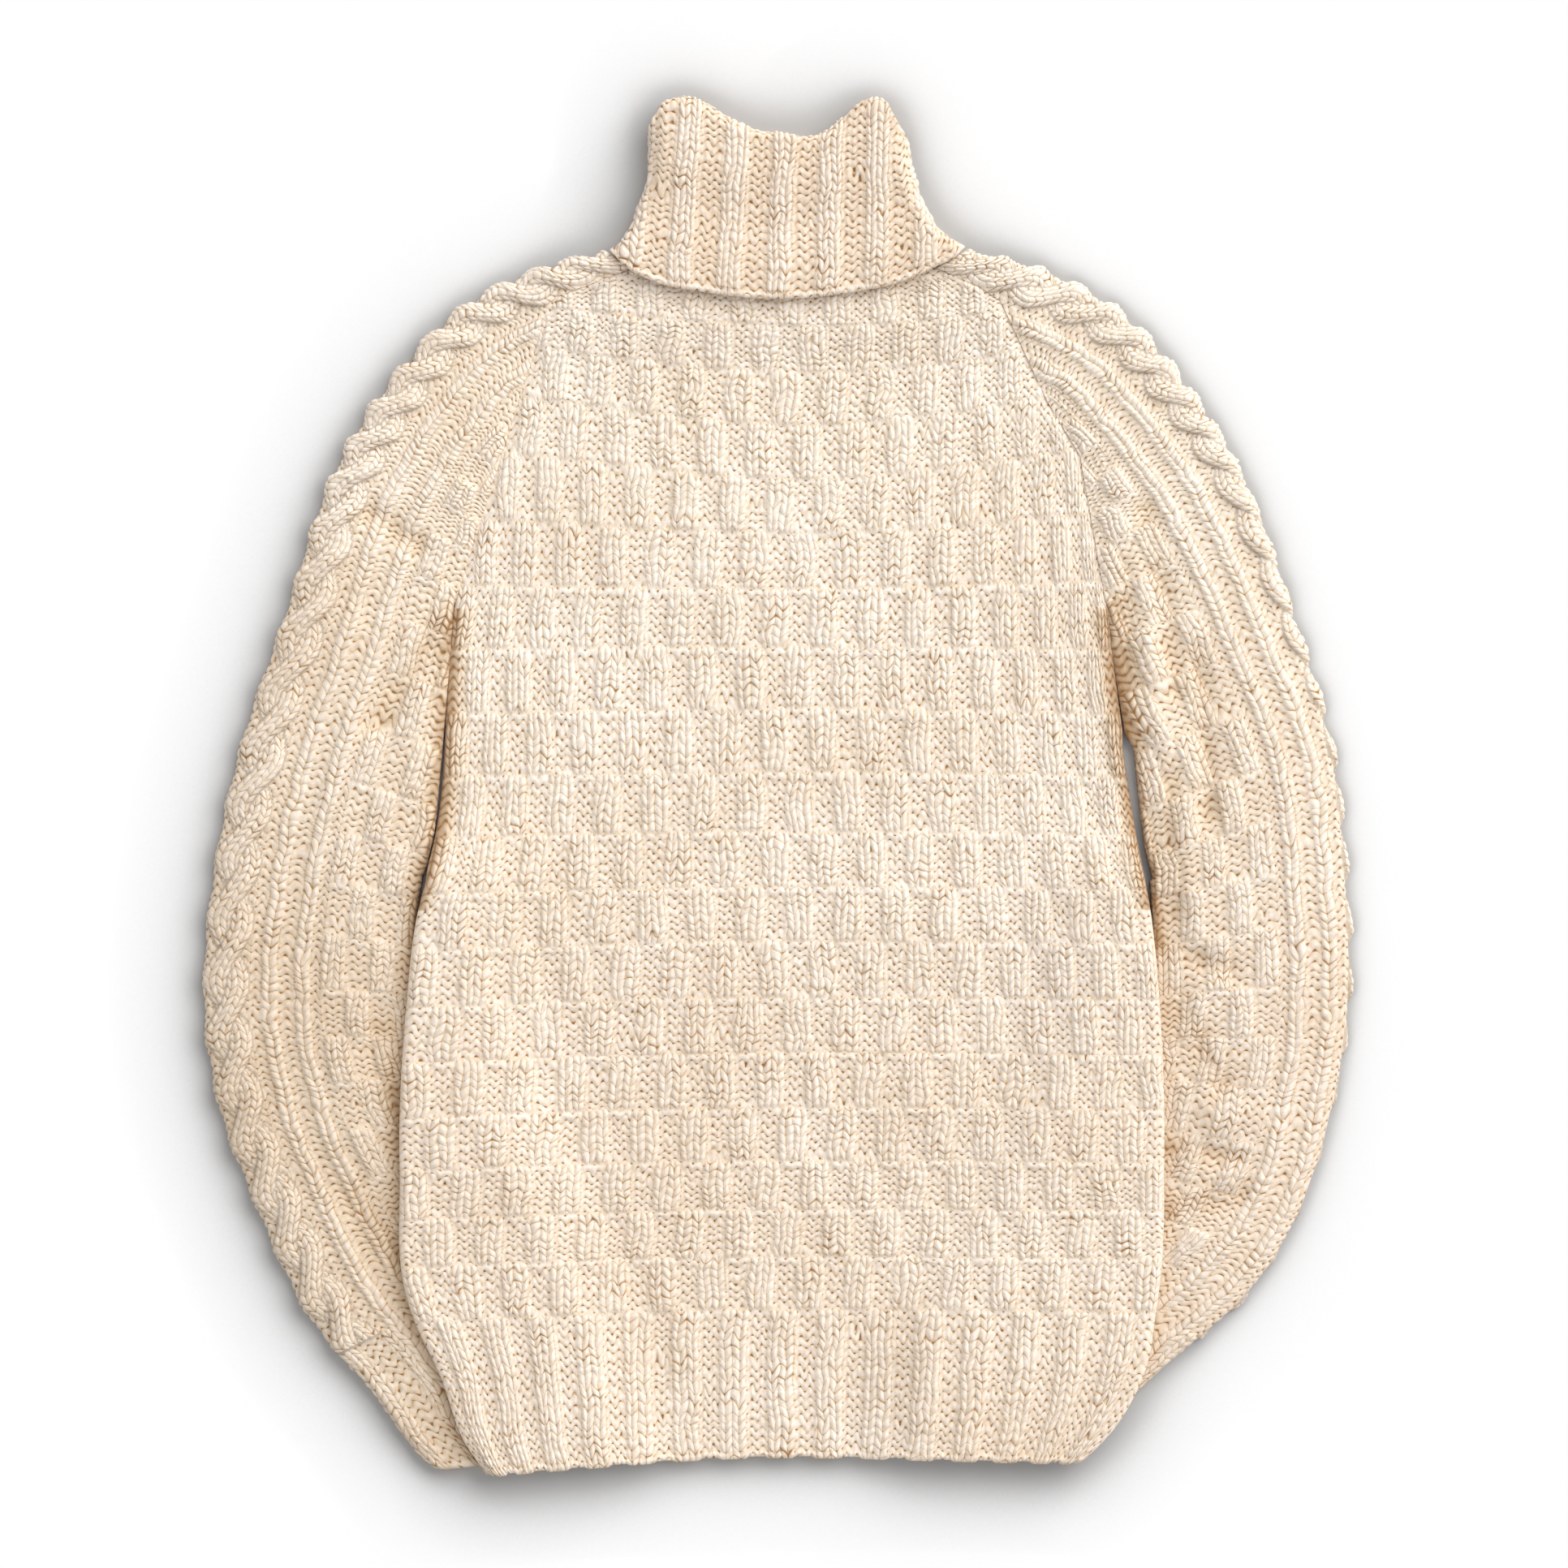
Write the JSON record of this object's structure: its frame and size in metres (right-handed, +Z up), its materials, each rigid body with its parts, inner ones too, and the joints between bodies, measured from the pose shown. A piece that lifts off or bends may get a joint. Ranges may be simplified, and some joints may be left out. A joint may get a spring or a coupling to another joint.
{
  "type": "aran sweater",
  "caption": "Chunky aran sweater in cream wool, laid flat: basket-stitch body on a deep ribbed hem, raglan sleeves with a rope cable and a folded rib collar.",
  "frame": {"origin": "on the surface the sweater lies on, under the middle of its outline", "axes": "+Y from the hem to the collar, +X to the right in the view from above, +Z up from the surface towards the viewer"},
  "size_m": [0.7048, 0.8483, 0.0227],
  "materials": {
    "front_yarn": "matt chunky wool, cream",
    "back_yarn": "matt chunky wool, cream",
    "sleeve_left_yarn": "matt chunky wool, cream",
    "sleeve_right_yarn": "matt chunky wool, cream",
    "collar_yarn": "matt chunky wool, cream"
  },
  "bodies": {
    "root": {"front": "front_yarn", "back": "back_yarn", "sleeve_left": "sleeve_left_yarn", "sleeve_right": "sleeve_right_yarn", "collar": "collar_yarn"}
  },
  "joints": []
}
